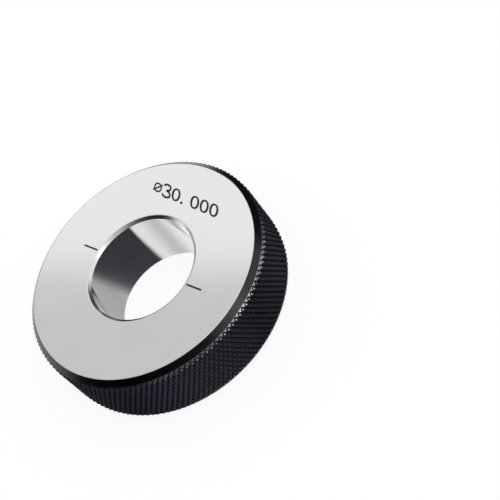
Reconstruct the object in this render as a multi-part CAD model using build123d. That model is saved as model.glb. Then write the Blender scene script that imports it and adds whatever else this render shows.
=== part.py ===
from build123d import *

import os
from math import ceil, cos, hypot, pi, radians, sin, tan

# Plain ring gauge: a hardened steel ring, faced and chamfered, with a lapped bore and a knurled rim.
# It stands on its lower face with its axis along +Z and the centre of that face at the origin.
# All lengths are in millimetres.

bore_diameter = 30.0
outside_diameter = 68.0  # over the crests of the knurl
ring_width = 19.0
bore_chamfer = 0.8  # at 45 degrees, both ends of the bore
rim_chamfer = 2.0  # at 45 degrees, both ends of the rim, measured from the crests

knurl_starts = 140  # grooves of each hand round the rim
knurl_helix = 30.0  # degrees between a groove and the axis
knurl_depth = 0.5

line_width = 0.5  # the two scribed lines on the upper face, one each side of the bore
line_depth = 0.12
line_length = 5.1
line_gap = 0.45  # from the edge of the bore's chamfer to the line

crest_radius = outside_diameter / 2
root_radius = crest_radius - knurl_depth
bore_mouth = bore_diameter / 2 + bore_chamfer


def ring_of_points(count, height, *radii):
    """Points evenly round the axis, at these radii in turn."""
    around = [(radii[n % len(radii)], 2 * pi * n / count) for n in range(count)]
    return [Vector(r * cos(angle), r * sin(angle), height) for r, angle in around]


def folded(corners):
    """A cell of four corners as two triangles, which meet in a valley where its corners allow one."""
    first, second, third, fourth = corners
    radii = [hypot(corner.X, corner.Y) for corner in corners]
    if radii[0] + radii[2] < radii[1] + radii[3]:
        return [(first, second, third), (first, third, fourth)]
    return [(first, second, fourth), (second, third, fourth)]


def skinned(rings, cell):
    """The closed solid through rings of points, from the lowest up, with flat ends."""
    outlines = [rings[0], rings[-1]]
    for low, high in zip(rings, rings[1:]):
        for n in range(len(low)):
            outlines += cell((low[n - 1], low[n], high[n], high[n - 1]))
    return Solid(Shell([Face(Wire.make_polygon(outline)) for outline in outlines]))


def knurled_bar():
    """A bar longer than the ring, with a right-hand and a left-hand set of V grooves crossing on it.

    The grooves leave four-sided pyramids. Their crests and the crossings of the grooves take turns,
    both round the bar and along it.
    """
    rise = pi * crest_radius / knurl_starts / tan(radians(knurl_helix))
    reach = ceil(ring_width / 2 / rise + 0.25)
    rings = []
    for level in range(-reach, reach + 1):
        radii = (crest_radius, root_radius) if level % 2 else (root_radius, crest_radius)
        rings.append(ring_of_points(2 * knurl_starts, ring_width / 2 + level * rise, *radii))
    return skinned(rings, folded)


def turned_blank():
    """The blank with its faces, its chamfers and its bore, but wider than the crests.

    The rim's chamfers have a flat for each start of the knurl, so that they cut the pyramids along
    straight lines.
    """
    waste = 1.0
    face_radius, bar_radius = crest_radius - rim_chamfer, crest_radius + waste
    rings = [
        ring_of_points(knurl_starts, 0, face_radius),
        ring_of_points(knurl_starts, rim_chamfer + waste, bar_radius),
        ring_of_points(knurl_starts, ring_width - rim_chamfer - waste, bar_radius),
        ring_of_points(knurl_starts, ring_width, face_radius),
    ]
    blank = skinned(rings, lambda corners: [corners])
    blank -= Pos(0, 0, ring_width / 2) * Cylinder(bore_diameter / 2, ring_width)
    return chamfer(blank.edges().filter_by(GeomType.CIRCLE), bore_chamfer)


def scribed_lines():
    """The two radial lines on the upper face, in line with each other across the bore."""
    middle = bore_mouth + line_gap + line_length / 2
    outline = SlotOverall(line_length, line_width)
    return [extrude(Pos(side * middle, 0, ring_width) * outline, -line_depth) for side in (-1, 1)]


gauge_ring = (turned_blank() - scribed_lines()) & knurled_bar()

os.makedirs("parts", exist_ok=True)
export_step(gauge_ring, "parts/gauge_ring.step", write_pcurves=False)
print("gauge_ring:", len(gauge_ring.faces()), "faces,", round(gauge_ring.volume), "cubic millimetres")
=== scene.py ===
from math import atan2, ceil, cos, pi, radians, sin, tan

import bpy
import numpy as np
from mathutils import Matrix, Vector


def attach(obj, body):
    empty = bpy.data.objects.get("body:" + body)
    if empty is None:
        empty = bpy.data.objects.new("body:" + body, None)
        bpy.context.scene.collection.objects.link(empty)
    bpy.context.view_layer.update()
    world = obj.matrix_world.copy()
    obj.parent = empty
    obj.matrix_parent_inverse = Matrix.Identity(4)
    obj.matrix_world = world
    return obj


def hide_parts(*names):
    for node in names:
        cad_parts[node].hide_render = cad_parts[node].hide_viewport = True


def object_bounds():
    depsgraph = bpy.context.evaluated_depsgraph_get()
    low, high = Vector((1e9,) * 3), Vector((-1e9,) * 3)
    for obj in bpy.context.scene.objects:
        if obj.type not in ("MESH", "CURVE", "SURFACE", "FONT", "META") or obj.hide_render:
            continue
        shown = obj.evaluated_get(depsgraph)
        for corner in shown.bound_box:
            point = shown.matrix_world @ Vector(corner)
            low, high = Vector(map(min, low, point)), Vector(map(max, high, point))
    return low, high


# Plain ring gauge: a blackened, knurled steel ring with lapped faces and a polished bore.
# It lies flat on the floor with its axis along Z. Sizes below are in millimetres.

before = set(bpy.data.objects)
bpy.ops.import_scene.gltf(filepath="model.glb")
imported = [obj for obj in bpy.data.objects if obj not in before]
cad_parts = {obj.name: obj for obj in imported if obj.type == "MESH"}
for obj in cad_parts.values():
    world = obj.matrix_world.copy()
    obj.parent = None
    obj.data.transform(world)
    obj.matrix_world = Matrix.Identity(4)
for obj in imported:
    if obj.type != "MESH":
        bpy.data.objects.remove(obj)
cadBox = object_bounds()
scene = bpy.context.scene
scene.view_settings.view_transform = "Standard"
mm = 0.001

# camera: where it stands, which way it looks and how far it is rolled
cameraValues = {
    "place": (217.37, -72.22, 253.52),
    "azimuth": -24.5,  # degrees, from the ring towards the camera
    "elevation": 48.38,
    "roll": -39.35,
    "lens": 91.62,
    "sensor": 36.0,
    "clipStart": 10.0,
}


def makeCamera(values):
    camera = bpy.data.objects.new("photoCamera", bpy.data.cameras.new("photoCamera"))
    scene.collection.objects.link(camera)
    azimuth, elevation = radians(values["azimuth"]), radians(values["elevation"])
    back = Vector((cos(azimuth) * cos(elevation), sin(azimuth) * cos(elevation), sin(elevation)))
    turn = back.to_track_quat("Z", "Y").to_matrix().to_4x4()
    place = Matrix.Translation(Vector(values["place"]) * mm)
    camera.matrix_world = place @ turn @ Matrix.Rotation(radians(values["roll"]), 4, "Z")
    camera.data.lens = values["lens"]
    camera.data.sensor_width = values["sensor"]
    camera.data.clip_start = values["clipStart"] * mm
    scene.camera = camera


makeCamera(cameraValues)
print("camera placed")

# ring: the turned form, with the outside size of the frame
ringValues = {
    "boreRadius": 15.0,
    "rimRadius": round(cadBox[1][0] / mm, 3),  # over the crests of the knurl
    "width": round(cadBox[1][2] / mm, 3),
    "boreChamfer": 0.8,
    "rimChamfer": 2.0,
    "boreRound": 0.08,  # the small radius that polishing leaves on the edges of the bore
    "roundSteps": 3,
    "stonedFlat": 0.2,  # the narrow flat that stoning leaves where a lapped face meets a chamfer
    "segments": 280,
    "waste": 1.0,  # how far the blank stands out past the knurl before it is cut
}
# knurl: crossed grooves with slightly worn crests
knurlValues = {
    "starts": 140,
    "helix": 30.0,
    "depth": 0.5,
    "steps": (0.0, 0.14, 0.5, 0.86),  # where a half pitch is divided, the first step is the worn crest
    "spare": 0.25,  # how far the uncut bar is longer than the ring at each end, in half pitches
    "crisp": 38,  # degrees, edges that turn more than this stay sharp
}
finishes = ["lappedSteel", "polishedBore", "blackChamfer", "blackKnurl", "markFill"]


def roundedCorner(before, corner, after, radius, steps):
    # points of a small arc in place of a corner, with the outward direction at each
    before, corner, after = (np.array(p, float) for p in (before, corner, after))
    if not steps:
        return [(corner, None)]
    into, out = corner - before, after - corner
    into /= np.hypot(*into)
    out /= np.hypot(*out)
    turn = atan2(into[0] * out[1] - into[1] * out[0], into @ out)
    start = corner - into * radius * tan(turn / 2)
    normal = np.array([into[1], -into[0]])
    centre = start - normal * radius
    points = []
    for step in range(steps + 1):
        a = turn * step / steps
        aim = np.array([normal[0] * cos(a) - normal[1] * sin(a), normal[0] * sin(a) + normal[1] * cos(a)])
        points.append((centre + radius * aim, aim))
    return points


def ringProfile(v):
    # the ring's section, counter-clockwise from the lower end of the bore
    # each segment is (start, end, direction at start, direction at end, finish)
    bore, rim, width, waste = v["boreRadius"], v["rimRadius"], v["width"], v["waste"]
    boreChamfer, rimChamfer = v["boreChamfer"], v["rimChamfer"]
    turn = pi / 4  # between a face and a chamfer
    rounded = (v["boreRound"], v["roundSteps"])
    stoned = (v["stonedFlat"] / (2 * sin(turn / 2)), 1)  # an arc of one step, whose chord is the flat
    sharp = (0, 0)
    lower = [
        ((bore, boreChamfer), rounded, "polishedBore"),
        ((bore + boreChamfer, 0), stoned, "lappedSteel"),
        ((rim - rimChamfer, 0), stoned, "lappedSteel"),
        ((rim + waste, rimChamfer + waste), sharp, "blackChamfer"),
    ]
    corners = lower + [((x, width - z), *rest) for (x, z), *rest in reversed(lower)]
    between = ["polishedBore", "lappedSteel", "blackChamfer", "blackKnurl",
               "blackChamfer", "lappedSteel", "polishedBore", "polishedBore"]
    arcs = []
    for n, (corner, (radius, steps), _) in enumerate(corners):
        before, after = corners[n - 1][0], corners[(n + 1) % len(corners)][0]
        arcs.append(roundedCorner(before, corner, after, radius, steps))
    segments = []
    for n, arc in enumerate(arcs):
        for (p, aimP), (q, aimQ) in zip(arc, arc[1:]):
            if len(arc) == 2:  # a flat faces one way all over
                aimP = aimQ = (aimP + aimQ) / np.hypot(*(aimP + aimQ))
            segments.append((p, q, aimP, aimQ, corners[n][2]))
        p, q = arc[-1][0], arcs[(n + 1) % len(arcs)][0][0]
        along = (q - p) / np.hypot(*(q - p))
        aim = np.array([along[1], -along[0]])
        segments.append((p, q, aim, aim, between[n]))
    return segments


def meshObject(name, vertices, faces, finishOfFace):
    mesh = bpy.data.meshes.new(name)
    mesh.from_pydata([tuple(p) for p in vertices], [], faces)
    for finish in finishes:
        mesh.materials.append(bpy.data.materials.get(finish) or bpy.data.materials.new(finish))
    mesh.polygons.foreach_set("material_index", np.array(finishOfFace, np.int32))
    mesh.update()
    thing = bpy.data.objects.new(name, mesh)
    scene.collection.objects.link(thing)
    return thing


def turnedBlank(segments, count):
    angles = np.arange(count) * 2 * pi / count
    vertices, faces, finishOfFace = [], [], []
    for start, *_ in segments:
        vertices += [(start[0] * cos(a) * mm, start[0] * sin(a) * mm, start[1] * mm) for a in angles]
    for k, segment in enumerate(segments):
        low, high = k * count, (k + 1) % len(segments) * count
        for n in range(count):
            m = (n + 1) % count
            faces.append((low + n, low + m, high + m, high + n))
            finishOfFace.append(finishes.index(segment[4]))
    return meshObject("turnedBlank", vertices, faces, finishOfFace)


def knurlHeight(column, level, x, y):
    # 0 in the grooves and 1 on the crests, in the cell that starts at this column and level
    height = abs(x - y) if (column + level) % 2 == 0 else abs(1 - x - y)
    return min(height / (1 - knurlValues["steps"][1]), 1.0)


def knurledBar(ring, knurl):
    root = ring["rimRadius"] - knurl["depth"]
    rise = pi * ring["rimRadius"] / knurl["starts"] / tan(radians(knurl["helix"]))
    reach = ceil(ring["width"] / 2 / rise + knurl["spare"])
    steps, share = knurl["steps"], len(knurl["steps"])
    columns, levels = 2 * knurl["starts"], range(-reach, reach)
    around = columns * share
    vertices, faces = [], []
    rows = [(level, y) for level in levels for y in steps] + [(reach, 0.0)]
    for level, y in rows:
        heights = {parity: [knurlHeight(parity, level, x, y) for x in steps] for parity in (0, 1)}
        z = (ring["width"] / 2 + (level + y) * rise) * mm
        for column in range(columns):
            for x, height in zip(steps, heights[column % 2]):
                a = (column + x) * pi / knurl["starts"]
                r = (root + knurl["depth"] * height) * mm
                vertices.append((r * cos(a), r * sin(a), z))
    for row, (level, y) in enumerate(rows[:-1]):
        for n in range(around):
            m = (n + 1) % around
            first, second = row * around + n, row * around + m
            third, fourth = second + around, first + around
            if (n // share + level) % 2 == 0:
                faces += [(first, second, third), (first, third, fourth)]
            else:
                faces += [(first, second, fourth), (second, third, fourth)]
    last = (len(rows) - 1) * around
    faces.append(tuple(reversed(range(around))))
    faces.append(tuple(range(last, last + around)))
    return meshObject("knurledBar", vertices, faces, [finishes.index("blackKnurl")] * len(faces))


# marks: two scribed lines and a plain size number, cut into the upper face
markValues = {
    "lineGap": 0.45,  # from the mouth of the bore
    "lineLength": 5.1,
    "lineWidth": 0.5,
    "lineDepth": 0.12,
    "text": "o30.000",  # o stands for the diameter sign
    "depth": 0.10,
    "middle": (0.2, 21.75),
    "pitch": 3.52,
    "turn": -3.2,  # degrees, the line of the text
    "up": (-0.395, 0.919),  # the way up for the digits, which lean back
    "height": 3.95,
    "width": 3.2,
    "thick": 0.76,
    "thin": 0.54,
    "nought": 2.2,  # how square a nought is: 2 gives an ellipse
    "three": ((-0.42, 0.30), (-0.33, 0.43), (-0.05, 0.49), (0.26, 0.42), (0.36, 0.26), (0.24, 0.10),
              (-0.04, 0.02), (0.24, -0.05), (0.43, -0.23), (0.34, -0.41), (0.0, -0.49), (-0.34, -0.43),
              (-0.46, -0.28)),  # the pen's way, as shares of the width and height
    "threeSwell": (0.6, 0.7),  # how thick the three's bows get, and how evenly they swell
    "dot": 0.92,
    "dotPlace": (-0.33, 0.3),  # across as a share of the width, and above the foot of the digits
    "sign": 0.77,  # the diameter sign, as a share of the digits' height
    "slash": (0.52, 0.4),  # from its middle to its end, as shares of the sign
    "above": 0.2,  # how far the cutters stand out of the face
}


def prism(outline, hole, top, bottom):
    # a closed block from an outline, with or without a hole of as many points
    count = len(outline)
    lines = [outline, hole] if hole else [outline]
    vertices = [(x * mm, y * mm, z * mm) for z in (bottom, top) for line in lines for x, y in line]
    faces = []
    for n in range(count):
        m = (n + 1) % count
        if hole:
            a, b, c, d = 0, count, 2 * count, 3 * count
            faces += [(a + n, a + m, c + m, c + n), (b + m, b + n, d + n, d + m)]
            faces += [(c + n, c + m, d + m, d + n), (a + m, a + n, b + n, b + m)]
        else:
            faces.append((n, m, count + m, count + n))
    if not hole:
        faces += [tuple(reversed(range(count))), tuple(range(count, 2 * count))]
    return vertices, faces


def oval(width, height, count=40, power=2.0, middle=(0, 0)):
    points = []
    for n in range(count):
        a = 2 * pi * n / count
        c, s = cos(a), sin(a)
        points.append((middle[0] + width / 2 * abs(c) ** (2 / power) * (1 if c > 0 else -1),
                       middle[1] + height / 2 * abs(s) ** (2 / power) * (1 if s > 0 else -1)))
    return points


def stroke(path, widths):
    # the outline of a pen stroke along a path
    path = np.array(path, float)
    along = np.gradient(path, axis=0)
    along /= np.hypot(along[:, 0], along[:, 1])[:, None]
    side = np.stack([along[:, 1], -along[:, 0]], axis=1) * np.array(widths, float)[:, None] / 2
    return [tuple(p) for p in path + side] + [tuple(p) for p in (path - side)[::-1]]


def smoothPath(points, steps=6):
    # a curve through the points
    points = [np.array(p, float) for p in points]
    padded = [2 * points[0] - points[1]] + points + [2 * points[-1] - points[-2]]
    path = []
    for a, b, c, d in zip(padded, padded[1:], padded[2:], padded[3:]):
        for n in range(steps):
            t = n / steps
            path.append(0.5 * (2 * b + (c - a) * t + (2 * a - 5 * b + 4 * c - d) * t ** 2
                               + (3 * b - 3 * c + d - a) * t ** 3))
    return path + [points[-1]]


def glyphOutlines(sign, v):
    # outlines in a cell of its own, centred on the digit's middle: (outline, hole)
    w, h, thick, thin = v["width"], v["height"], v["thick"], v["thin"]
    if sign == "0":
        hole = oval(w - 2 * thick, h - 2 * thin, power=v["nought"])
        return [(oval(w, h, power=v["nought"]), hole)]
    if sign == ".":
        across, above = v["dotPlace"]
        return [(oval(v["dot"], v["dot"], count=16, middle=(across * w, above - h / 2)), None)]
    if sign == "o":
        size = v["sign"] * h
        end = np.array(v["slash"]) * size
        slash = stroke([-end, (0, 0), end], [thin] * 3)
        return [(oval(size, size), oval(size - 2 * thin, size - 2 * thin)), (slash, None)]
    path = smoothPath([(x * w, y * h) for x, y in v["three"]])
    bows = np.abs(np.sin(2 * pi * np.linspace(0, 1, len(path))))
    swell, power = v["threeSwell"]
    return [(stroke(path, thin + swell * (thick - thin) * bows ** power), None)]


def counterClockwise(points):
    area = sum(p[0] * q[1] - q[0] * p[1] for p, q in zip(points, points[1:] + points[:1]))
    return points[::-1] if area < 0 else points


def markCutters(v, ring):
    # blocks that cut the marks, in layers whose blocks don't touch each other
    turn = radians(v["turn"])
    across = np.array([cos(turn), sin(turn)])
    up = np.array(v["up"]) / np.hypot(*v["up"])
    face = ring["width"]
    start = ring["boreRadius"] + ring["boreChamfer"] + v["lineGap"]
    end = start + v["lineLength"]
    layers = [[], []]
    for side in (-1, 1):
        line = stroke([(side * x, 0) for x in (start, (start + end) / 2, end)], [v["lineWidth"]] * 3)
        layers[0].append(prism(counterClockwise(line), None, face + v["above"], face - v["lineDepth"]))
    for n, sign in enumerate(v["text"]):
        middle = np.array(v["middle"]) + across * v["pitch"] * (n - (len(v["text"]) - 1) / 2)
        for layer, outlines in enumerate(glyphOutlines(sign, v)):
            placed = []
            for line in outlines:
                if line:
                    line = counterClockwise([tuple(middle + across * x + up * y) for x, y in line])
                placed.append(line)
            layers[layer].append(prism(*placed, face + v["above"], face - v["depth"]))
    cutters = []
    for n, blocks in enumerate(layers):
        vertices, faces = [], []
        for blockVertices, blockFaces in blocks:
            faces += [tuple(len(vertices) + k for k in corners) for corners in blockFaces]
            vertices += blockVertices
        fill = [finishes.index("markFill")] * len(faces)
        cutters.append(meshObject(f"markCutter{n}", vertices, faces, fill))
    return cutters


def cutWith(thing, tool, operation):
    # Blender's Boolean, applied, and the tool taken away
    cut = thing.modifiers.new("cut", "BOOLEAN")
    cut.operation, cut.object, cut.solver = operation, tool, "MANIFOLD"
    mesh = bpy.data.meshes.new_from_object(thing.evaluated_get(bpy.context.evaluated_depsgraph_get()))
    old = thing.data
    thing.modifiers.clear()
    thing.data = mesh
    bpy.data.meshes.remove(old)
    bpy.data.objects.remove(tool)


def readAll(items, name, kind=int, size=1):
    # one property of every item, as an array
    values = np.zeros(len(items) * size, kind)
    items.foreach_get(name, values)
    return values.reshape(-1, size) if size > 1 else values


def shadeRing(thing, segments):
    # true normals for the turned surfaces, whatever triangles the cuts left, and crisp knurl flanks
    mesh = thing.data
    mesh.set_sharp_from_angle(angle=radians(knurlValues["crisp"]))
    mesh.polygons.foreach_set("use_smooth", np.ones(len(mesh.polygons), bool))
    mesh.update()
    normals = readAll(mesh.corner_normals, "vector", float, 3)
    place = readAll(mesh.vertices, "co", float, 3) / mm
    corner = readAll(mesh.loops, "vertex_index")
    sides = readAll(mesh.polygons, "loop_total")
    finish = readAll(mesh.polygons, "material_index")
    face = np.repeat(np.arange(len(sides)), sides)
    section = np.stack([np.hypot(place[:, 0], place[:, 1]), place[:, 2]], axis=1)[corner]
    middle = np.stack([np.bincount(face, section[:, k]) / sides for k in (0, 1)], axis=1)
    # the segment of the profile that each face belongs to, and how far along it each corner is
    start, end, startAim, endAim = (np.array([segment[k] for segment in segments]) for k in range(4))
    run = end - start
    square = (run * run).sum(1)
    along = np.clip(((middle[:, None] - start) * run).sum(2) / square, 0, 1)
    away = middle[:, None] - (start + along[..., None] * run)
    nearest = np.hypot(away[..., 0], away[..., 1]).argmin(1)[face]
    share = ((section - start[nearest]) * run[nearest]).sum(1) / square[nearest]
    share = np.clip(share, 0, 1)[:, None]
    aim = startAim[nearest] * (1 - share) + endAim[nearest] * share
    aim /= np.hypot(aim[:, 0], aim[:, 1])[:, None]
    azimuth = np.arctan2(place[:, 1], place[:, 0])[corner]
    turned = np.stack([aim[:, 0] * np.cos(azimuth), aim[:, 0] * np.sin(azimuth), aim[:, 1]], axis=1)
    isTurned = (finish < finishes.index("blackKnurl"))[face]
    normals[isTurned] = turned[isTurned]
    mesh.normals_split_custom_set(normals)


profile = ringProfile(ringValues)
gaugeRing = turnedBlank(profile, ringValues["segments"])
cutWith(gaugeRing, knurledBar(ringValues, knurlValues), "INTERSECT")
print("ring knurled:", len(gaugeRing.data.polygons), "faces")
for cutter in markCutters(markValues, ringValues):
    cutWith(gaugeRing, cutter, "DIFFERENCE")
gaugeRing.name = gaugeRing.data.name = "gaugeRing"
shadeRing(gaugeRing, profile)
print("marks cut:", len(gaugeRing.data.polygons), "faces,",
      sum(len(p.vertices) - 2 for p in gaugeRing.data.polygons), "triangles")


# node helpers
def addNode(tree, kind, values=None, **settings):
    # values go to the inputs of these names or numbers, linked if they are sockets
    node = tree.nodes.new(kind)
    for name, value in settings.items():
        setattr(node, name, value)
    for name, value in (values or {}).items():
        if isinstance(value, bpy.types.NodeSocket):
            tree.links.new(value, node.inputs[name])
        else:
            node.inputs[name].default_value = value
    return node


def math(tree, operation, *values):
    return addNode(tree, "ShaderNodeMath", dict(enumerate(values)), operation=operation).outputs[0]


def vectorMath(tree, operation, values, output=0):
    return addNode(tree, "ShaderNodeVectorMath", values, operation=operation).outputs[output]


def mixColours(tree, factor, first, second):
    values = {"Factor": factor, 6: first, 7: second}
    return addNode(tree, "ShaderNodeMix", values, data_type="RGBA").outputs[2]


def smoothRange(tree, value, low, high, toLow=0.0, toHigh=1.0):
    values = {"Value": value, "From Min": low, "From Max": high, "To Min": toLow, "To Max": toHigh}
    return addNode(tree, "ShaderNodeMapRange", values, interpolation_type="SMOOTHSTEP").outputs["Result"]


def azimuthRamp(tree, azimuth, stops):
    # a grey that changes from stop to stop round the ring, each (azimuth in degrees, grey)
    turn = math(tree, "MULTIPLY_ADD", azimuth, 0.5 / pi, 0.5)
    ramp = addNode(tree, "ShaderNodeValToRGB", {0: turn})
    elements = ramp.color_ramp.elements
    for n, (degrees, grey) in enumerate(stops):
        element = elements[n] if n < len(elements) else elements.new(1.0)
        element.position = degrees / 360 + 0.5
        element.color = (grey, grey, grey, 1)
    return ramp.outputs[0]


def bumpy(tree, height, strength):
    values = {"Height": height, "Strength": strength, "Distance": 0.1 * mm}
    return addNode(tree, "ShaderNodeBump", values).outputs[0]


def newGroup(name, inputs, outputs):
    group = bpy.data.node_groups.new(name, "ShaderNodeTree")
    for label, kind, value in inputs:
        socket = group.interface.new_socket(label, in_out="INPUT", socket_type=kind)
        if value is not None:
            socket.default_value = value
    for label, kind in outputs:
        group.interface.new_socket(label, in_out="OUTPUT", socket_type=kind)
    return group, group.nodes.new("NodeGroupInput").outputs, group.nodes.new("NodeGroupOutput").inputs


def useGroup(tree, group, values=None):
    return addNode(tree, "ShaderNodeGroup", values, node_tree=group).outputs


def fineGrainGroup():
    # fine irregular scratches, as a value about 0.5
    group, inputs, outputs = newGroup("fineGrain", [("Vector", "NodeSocketVector", None),
                                                    ("Scale", "NodeSocketFloat", 2000.0),
                                                    ("Stretch", "NodeSocketVector", (1, 1, 1)),
                                                    ("Detail", "NodeSocketFloat", 4.0)],
                                      [("Value", "NodeSocketFloat")])
    stretched = vectorMath(group, "MULTIPLY", {0: inputs["Vector"], 1: inputs["Stretch"]})
    noise = addNode(group, "ShaderNodeTexNoise", {"Vector": stretched, "Scale": inputs["Scale"],
                                                  "Detail": inputs["Detail"], "Roughness": 0.6})
    group.links.new(noise.outputs["Fac"], outputs["Value"])
    return group


def turnedCoordinatesGroup():
    # radius in millimetres and azimuth in radians of a point on the ring, both with its height as a vector,
    # how far it is from the middle of the width, and the direction out of a chamfer there
    group, _, outputs = newGroup("turnedCoordinates", [],
                                 [("Radius", "NodeSocketFloat"), ("Azimuth", "NodeSocketFloat"),
                                  ("Turned", "NodeSocketVector"), ("Edge", "NodeSocketFloat"),
                                  ("Edge Normal", "NodeSocketVector")])
    place = addNode(group, "ShaderNodeTexCoord").outputs["Object"]
    inMm = vectorMath(group, "SCALE", {0: place, "Scale": 1 / mm})
    x, y, z = addNode(group, "ShaderNodeSeparateXYZ", {0: inMm}).outputs
    square = math(group, "ADD", math(group, "MULTIPLY", x, x), math(group, "MULTIPLY", y, y))
    radius = math(group, "SQRT", square)
    azimuth = math(group, "ARCTAN2", y, x)
    group.links.new(radius, outputs["Radius"])
    group.links.new(azimuth, outputs["Azimuth"])
    turned = addNode(group, "ShaderNodeCombineXYZ", {0: radius, 1: azimuth, 2: z}).outputs[0]
    group.links.new(turned, outputs["Turned"])
    above = math(group, "SUBTRACT", z, ringValues["width"] / 2)
    group.links.new(math(group, "ABSOLUTE", above), outputs["Edge"])
    lean = math(group, "MULTIPLY", math(group, "SIGN", above), radius)
    leaning = addNode(group, "ShaderNodeCombineXYZ", {0: x, 1: y, 2: lean}).outputs[0]
    group.links.new(vectorMath(group, "NORMALIZE", {0: leaning}), outputs["Edge Normal"])
    return group


def crestWearAndGlintGroup(v):
    # how bright handling has rubbed the crests, in patches, with a painted highlight that makes them
    # brightest on the side of the ring where light falls on them
    group, inputs, outputs = newGroup("crestWearAndGlint", [("Least", "NodeSocketFloat", 0.4),
                                                    ("Most", "NodeSocketFloat", 1.0)],
                                      [("Wear And Glint", "NodeSocketFloat")])
    coordinates = useGroup(group, turnedCoordinates)
    patch = useGroup(group, fineGrain, {"Vector": coordinates["Turned"], "Scale": 1.0,
                                        "Stretch": (0.4, 18.0, 0.4), "Detail": 2.0})["Value"]
    patchy = smoothRange(group, patch, *v["wornPatches"], inputs["Least"], inputs["Most"])
    side = math(group, "SUBTRACT", coordinates["Azimuth"], radians(v["glintSide"]))
    near, far = (radians(angle) for angle in v["glintReach"])
    litSide = smoothRange(group, math(group, "ABSOLUTE", side), near, far, 1.0, v["awayFromGlint"])
    group.links.new(math(group, "MULTIPLY", patchy, litSide), outputs["Wear And Glint"])
    return group


# finishes: base colours are (darker, paler), and roughness is (smoother, rougher)
finishValues = {
    "lappedColour": ((0.70, 0.70, 0.71, 1), (0.73, 0.73, 0.73, 1)),
    "lappedRough": (0.07, 0.10),
    "boreColour": ((0.72, 0.72, 0.73, 1), (0.75, 0.75, 0.75, 1)),
    "boreRough": (0.05, 0.09),
    "boreChamferRough": 0.12,  # added on the bore's chamfers, which aren't lapped
    "boreLap": (0.02, 0.1),  # how far out from the bore that roughness begins and is full
    "mirrorings": 2,  # how often the bore's image in itself is mirrored on
    "paintedMirrorGlow": ((-180, 0.3), (-123, 0.3), (-116, 1.0), (0, 1.0), (40, 0.02), (85, 0.02), (100, 0.7),
                      (150, 0.7), (180, 0.3)),  # painted reflection: the glow that is seen in place of more mirrorings, as (azimuth, light)
    "rimBlack": (0.0010, 0.0010, 0.0018, 1),
    "rimRough": (0.17, 0.23),
    "knurlBlack": ((0.080, 0.080, 0.106, 1), (0.13, 0.13, 0.155, 1)),  # in the grooves and on the crests
    "knurlRough": (0.32, 0.42),
    "knurlTint": (0.02, 0.02, 0.03, 1),  # of the gloss at a grazing angle
    "crestHeight": 0.25,  # how far down from the crests the paler black reaches
    "wornRim": (0.44, 0.44, 0.45, 1),
    "wornTips": (-0.04, 0.12),  # where the chamfer's teeth turn bright, from the root of the knurl
    "wornKnurl": (0.62, 0.62, 0.63, 1),
    "wornCrests": (-0.34, -0.2),  # where the knurl turns bright towards its crests, from the rim
    "wornBand": (-0.8, -0.4),  # and towards its ends, from the edge of the rim's chamfer
    "wornPolish": 0.2,  # how much less rough it is there
    "wornPatches": (0.30, 0.62),  # grain at which a patch begins to be worn and is worn most
    "glintSide": -4,  # painted highlight: azimuth in degrees of the side where the worn tips are lit most
    "glintReach": (28, 54),  # how far from there the painted highlight begins and ends to fade
    # how much of the wear is left away from that lit side
    "awayFromGlint": 0.08,
    "inkColour": ((0.006, 0.006, 0.007, 1), (0.014, 0.014, 0.016, 1)),
    "inkRough": 0.6,
    "grain": (0.3, 0.7),  # the grain's value where a surface is smoothest and where it is roughest
}


def startMaterial(name):
    material = bpy.data.materials[name]
    material.use_nodes = True
    tree = material.node_tree
    tree.nodes.clear()
    shader = addNode(tree, "ShaderNodeBsdfPrincipled")
    output = addNode(tree, "ShaderNodeOutputMaterial")
    tree.links.new(shader.outputs[0], output.inputs["Surface"])
    return tree, shader.inputs


fineGrain = fineGrainGroup()
turnedCoordinates = turnedCoordinatesGroup()
crestWearAndGlint = crestWearAndGlintGroup(finishValues)


def lappedSteel(v):
    tree, shader = startMaterial("lappedSteel")
    place = addNode(tree, "ShaderNodeTexCoord").outputs["Object"]
    grain = useGroup(tree, fineGrain, {"Vector": place, "Scale": 2600.0, "Detail": 5.0})["Value"]
    cloud = useGroup(tree, fineGrain, {"Vector": place, "Scale": 90.0, "Detail": 3.0})["Value"]
    tree.links.new(mixColours(tree, cloud, *v["lappedColour"]), shader["Base Color"])
    tree.links.new(smoothRange(tree, cloud, *v["grain"], *v["lappedRough"]), shader["Roughness"])
    tree.links.new(bumpy(tree, grain, strength=0.02), shader["Normal"])
    shader["Metallic"].default_value = 1.0


def polishedBore(v):
    tree, shader = startMaterial("polishedBore")
    coordinates = useGroup(tree, turnedCoordinates)
    grain = useGroup(tree, fineGrain, {"Vector": coordinates["Turned"], "Scale": 3.0,
                                       "Stretch": (0.0, 14.0, 1.5), "Detail": 4.0})["Value"]
    # the bore mirrors itself on and on, and after a few mirrorings a glow ends that: a painted reflection,
    # light and dark in bands round the bore
    depth = addNode(tree, "ShaderNodeLightPath").outputs["Glossy Depth"]
    isDeep = math(tree, "GREATER_THAN", depth, v["mirrorings"] - 0.5)
    steel = mixColours(tree, grain, *v["boreColour"])
    tree.links.new(mixColours(tree, isDeep, steel, (0, 0, 0, 1)), shader["Base Color"])
    light = azimuthRamp(tree, coordinates["Azimuth"], v["paintedMirrorGlow"])
    tree.links.new(math(tree, "MULTIPLY", isDeep, light), shader["Emission Color"])
    shader["Emission Strength"].default_value = 1.0
    lapped = smoothRange(tree, grain, *v["grain"], *v["boreRough"])
    near, far = (ringValues["boreRadius"] + reach for reach in v["boreLap"])
    ground = smoothRange(tree, coordinates["Radius"], near, far, 0.0, v["boreChamferRough"])
    tree.links.new(math(tree, "ADD", lapped, ground), shader["Roughness"])
    shader["Metallic"].default_value = 1.0


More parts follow.
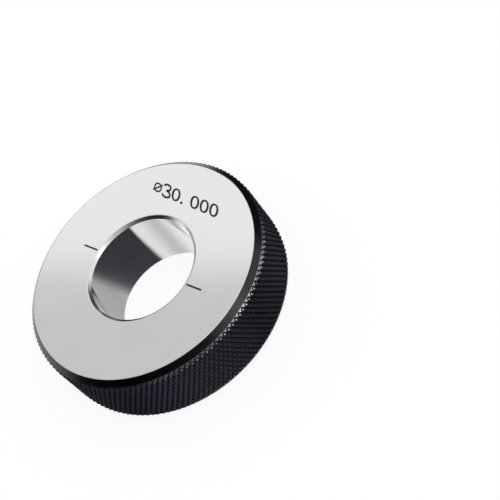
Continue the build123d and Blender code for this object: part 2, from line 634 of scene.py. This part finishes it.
def blackChamfer(v):
    tree, shader = startMaterial("blackChamfer")
    coordinates = useGroup(tree, turnedCoordinates)
    rings = useGroup(tree, fineGrain, {"Vector": coordinates["Turned"], "Scale": 9.0,
                                       "Stretch": (1.0, 0.12, 1.0), "Detail": 4.0})["Value"]
    # the chamfer's teeth are worn to bare steel, and painted brighter on the side of the ring where light
    # falls on them
    wearAndGlint = useGroup(tree, crestWearAndGlint, {"Least": 0.35, "Most": 0.95})["Wear And Glint"]
    low, high = (ringValues["rimRadius"] - knurlValues["depth"] + reach for reach in v["wornTips"])
    tip = math(tree, "MULTIPLY", smoothRange(tree, coordinates["Radius"], low, high), wearAndGlint)
    tree.links.new(mixColours(tree, tip, v["rimBlack"], v["wornRim"]), shader["Base Color"])
    tree.links.new(tip, shader["Metallic"])
    tree.links.new(smoothRange(tree, rings, *v["grain"], *v["rimRough"]), shader["Roughness"])
    tree.links.new(bumpy(tree, rings, strength=0.05), shader["Normal"])


def blackKnurl(v):
    tree, shader = startMaterial("blackKnurl")
    coordinates = useGroup(tree, turnedCoordinates)
    place = addNode(tree, "ShaderNodeTexCoord").outputs["Object"]
    grain = useGroup(tree, fineGrain, {"Vector": place, "Scale": 1800.0, "Detail": 3.0})["Value"]
    rim, chamfer = ringValues["rimRadius"], ringValues["width"] / 2 - ringValues["rimChamfer"]
    crest = smoothRange(tree, coordinates["Radius"], rim - v["crestHeight"], rim)
    black = mixColours(tree, crest, *v["knurlBlack"])
    # the crests next to the chamfers are worn bright and a little round, and painted brighter on the side
    # of the ring where light falls on them
    high = smoothRange(tree, coordinates["Radius"], *(rim + reach for reach in v["wornCrests"]))
    near = smoothRange(tree, coordinates["Edge"], *(chamfer + reach for reach in v["wornBand"]))
    wearAndGlint = useGroup(tree, crestWearAndGlint)["Wear And Glint"]
    bright = math(tree, "MULTIPLY", math(tree, "MULTIPLY", high, near), wearAndGlint)
    tree.links.new(mixColours(tree, bright, black, v["wornKnurl"]), shader["Base Color"])
    rough = smoothRange(tree, grain, *v["grain"], *v["knurlRough"])
    polish = math(tree, "MULTIPLY", bright, v["wornPolish"])
    tree.links.new(math(tree, "SUBTRACT", rough, polish), shader["Roughness"])
    shader["Metallic"].default_value = 1.0
    shader["Specular Tint"].default_value = v["knurlTint"]
    normals = {"Factor": bright, 4: bumpy(tree, grain, strength=0.1), 5: coordinates["Edge Normal"]}
    leaning = addNode(tree, "ShaderNodeMix", normals, data_type="VECTOR").outputs[1]
    tree.links.new(vectorMath(tree, "NORMALIZE", {0: leaning}), shader["Normal"])


def markFill(v):
    tree, shader = startMaterial("markFill")
    place = addNode(tree, "ShaderNodeTexCoord").outputs["Object"]
    grain = useGroup(tree, fineGrain, {"Vector": place, "Scale": 2500.0, "Detail": 3.0})["Value"]
    tree.links.new(mixColours(tree, grain, *v["inkColour"]), shader["Base Color"])
    shader["Roughness"].default_value = v["inkRough"]


for finish in (lappedSteel, polishedBore, blackChamfer, blackKnurl, markFill):
    finish(finishValues)
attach(gaugeRing, "root")
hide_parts("gauge_ring")
print("finishes made")

# studio: a pale tent, dark behind the camera, and a white floor
# a panel is a soft-edged rectangle of the tent, in degrees: azimuth and elevation of its middle, half its
# width and height, the softness of both, the way and the angle that its poles lean, and its light
studioValues = {
    "wall": 1.0,
    "white": (1, 1, 1, 1),
    "darkTint": (0.80, 0.80, 1.0, 1),  # the dark panels are a little blue
    "tinted": (0.03, 0.35),  # the light up to which the tint is full, and from which there is none
    "lights": {
        "faceLight": (160, 42, 30, 18, 8, 6, 0, 0, 1.12),
        "faceShade": (142.1, 25.9, 36, 25, 6, 1.2, -72.2, 59.1, 0.68),
        "rimLight": (17, 38, 8, 9, 14, 6, 0, 0, 2.2),
        "backLight": (170, -30, 12, 12, 10, 8, 0, 0, 1.3),
    },
    "shades": {
        "leftDark": (-73.5, 22.5, 61.5, 22.5, 11, 1.2, 0, 0, 0.055),
        "leftDeep": (-82, 26, 46, 16, 10, 6, 0, 0, 0.012),
        "sideDark": (-76, -13, 48, 12, 6, 6, 0, 0, 0.17),
        "frontDark": (14, -13, 46, 12, 8, 6, 0, 0, 0.31),
        "lowDark": (37, -28.3, 93, 17.5, 3, 1.4, -37, 2.7, 0.055),
        "lowCorner": (-80, -52, 16, 7.9, 5, 1.0, -150, 12.5, 0.055),
        "rightDark": (100, 4, 38, 20, 9, 5, 0, 0, 0.055),
        "farDark": (154, 7, 29, 13, 8, 5, 0, 0, 0.05),
        "boreStreak": (-107, -48, 18, 14, 20, 5, 0, 0, 0.66),
        "boreShade": (110, -50, 62, 16, 14, 5, 0, 0, 0.51),
    },
    "floorHalf": 3000.0,
    "floorPaper": (0.9, 0.9, 0.9, 1),
    "floorShadow": 0.15,
    "floorGlow": 1.06,
}


def panelGroup():
    # 1 inside a soft-edged rectangle seen in a direction, and 0 outside it
    vectors = ["Direction", "Middle", "Side", "Pole"]
    angles = ["Height", "Half Width", "Half Height", "Side Softness", "End Softness"]
    group, inputs, outputs = newGroup("studioPanel",
                                      [(name, "NodeSocketVector", None) for name in vectors]
                                      + [(name, "NodeSocketFloat", None) for name in angles],
                                      [("Mask", "NodeSocketFloat")])
    pairs = [{0: inputs["Direction"], 1: inputs[name]} for name in vectors[1:]]
    middle, side, pole = (vectorMath(group, "DOT_PRODUCT", pair, "Value") for pair in pairs)
    longitude = math(group, "ABSOLUTE", math(group, "ARCTAN2", side, middle))
    above = math(group, "SUBTRACT", math(group, "ARCSINE", pole), inputs["Height"])
    latitude = math(group, "ABSOLUTE", above)
    masks = []
    for spread, half, soft in ((longitude, "Half Width", "Side Softness"),
                               (latitude, "Half Height", "End Softness")):
        outer = math(group, "ADD", inputs[half], inputs[soft])
        inner = math(group, "SUBTRACT", inputs[half], inputs[soft])
        masks.append(smoothRange(group, spread, outer, inner))
    group.links.new(math(group, "MULTIPLY", *masks), outputs["Mask"])
    return group


def makeStudio(v):
    world = bpy.data.worlds.new("studio")
    scene.world = world
    world.use_nodes = True
    tree = world.node_tree
    tree.nodes.clear()
    direction = addNode(tree, "ShaderNodeTexCoord").outputs["Generated"]
    studioPanel = panelGroup()

    def panelLight(azimuth, *numbers):
        height, halfWidth, halfHeight, sideSoft, endSoft, leanWay, lean = (radians(n) for n in numbers[:-1])
        tip = Matrix.Rotation(lean, 3, Vector((-sin(leanWay), cos(leanWay), 0)))
        middle = tip @ Vector((cos(radians(azimuth)), sin(radians(azimuth)), 0))
        pole = tip @ Vector((0, 0, 1))
        mask = useGroup(tree, studioPanel, {
            "Direction": direction, "Middle": middle, "Side": pole.cross(middle), "Pole": pole,
            "Height": height, "Half Width": halfWidth, "Half Height": halfHeight,
            "Side Softness": sideSoft, "End Softness": endSoft})["Mask"]
        return math(tree, "ADD", math(tree, "MULTIPLY", mask, numbers[-1] - 1.0), 1.0)

    light = v["wall"]
    for panel in v["lights"].values():
        light = math(tree, "MULTIPLY", light, panelLight(*panel))
    darkest = 1.0
    for panel in v["shades"].values():
        darkest = math(tree, "MINIMUM", darkest, panelLight(*panel))
    light = math(tree, "MULTIPLY", light, darkest)
    tint = mixColours(tree, smoothRange(tree, light, *v["tinted"]), v["darkTint"], v["white"])
    # the camera itself sees plain white
    isCamera = addNode(tree, "ShaderNodeLightPath").outputs["Is Camera Ray"]
    colour = mixColours(tree, isCamera, tint, v["white"])
    strength = addNode(tree, "ShaderNodeMix", {"Factor": isCamera, 2: light, 3: 1.0}).outputs[0]
    background = addNode(tree, "ShaderNodeBackground", {"Color": colour, "Strength": strength})
    output = addNode(tree, "ShaderNodeOutputWorld")
    tree.links.new(background.outputs[0], output.inputs["Surface"])


def makeFloor(v):
    half = v["floorHalf"] * mm
    floor = meshObject("floor", [(-half, -half, 0), (half, -half, 0), (half, half, 0), (-half, half, 0)],
                       [(0, 1, 2, 3)], [0])
    floor.data.materials.clear()
    material = bpy.data.materials.new("whiteFloor")
    material.use_nodes = True
    floor.data.materials.append(material)
    tree = material.node_tree
    tree.nodes.clear()
    # it glows for the camera, with a faint shadow, and is clear to what the metal mirrors
    rays = addNode(tree, "ShaderNodeLightPath").outputs
    paper = addNode(tree, "ShaderNodeBsdfDiffuse", {"Color": v["floorPaper"]}).outputs[0]
    light = {"Color": v["white"], "Strength": v["floorGlow"]}
    glow = addNode(tree, "ShaderNodeEmission", light).outputs[0]
    seen = addNode(tree, "ShaderNodeMixShader", {0: 1 - v["floorShadow"], 1: paper, 2: glow}).outputs[0]
    lit = addNode(tree, "ShaderNodeMixShader", {0: rays["Is Camera Ray"], 1: paper, 2: seen}).outputs[0]
    clear = addNode(tree, "ShaderNodeBsdfTransparent").outputs[0]
    whole = addNode(tree, "ShaderNodeMixShader", {0: rays["Is Glossy Ray"], 1: lit, 2: clear}).outputs[0]
    tree.links.new(whole, addNode(tree, "ShaderNodeOutputMaterial").inputs["Surface"])


makeStudio(studioValues)
makeFloor(studioValues)
print("studio lit")
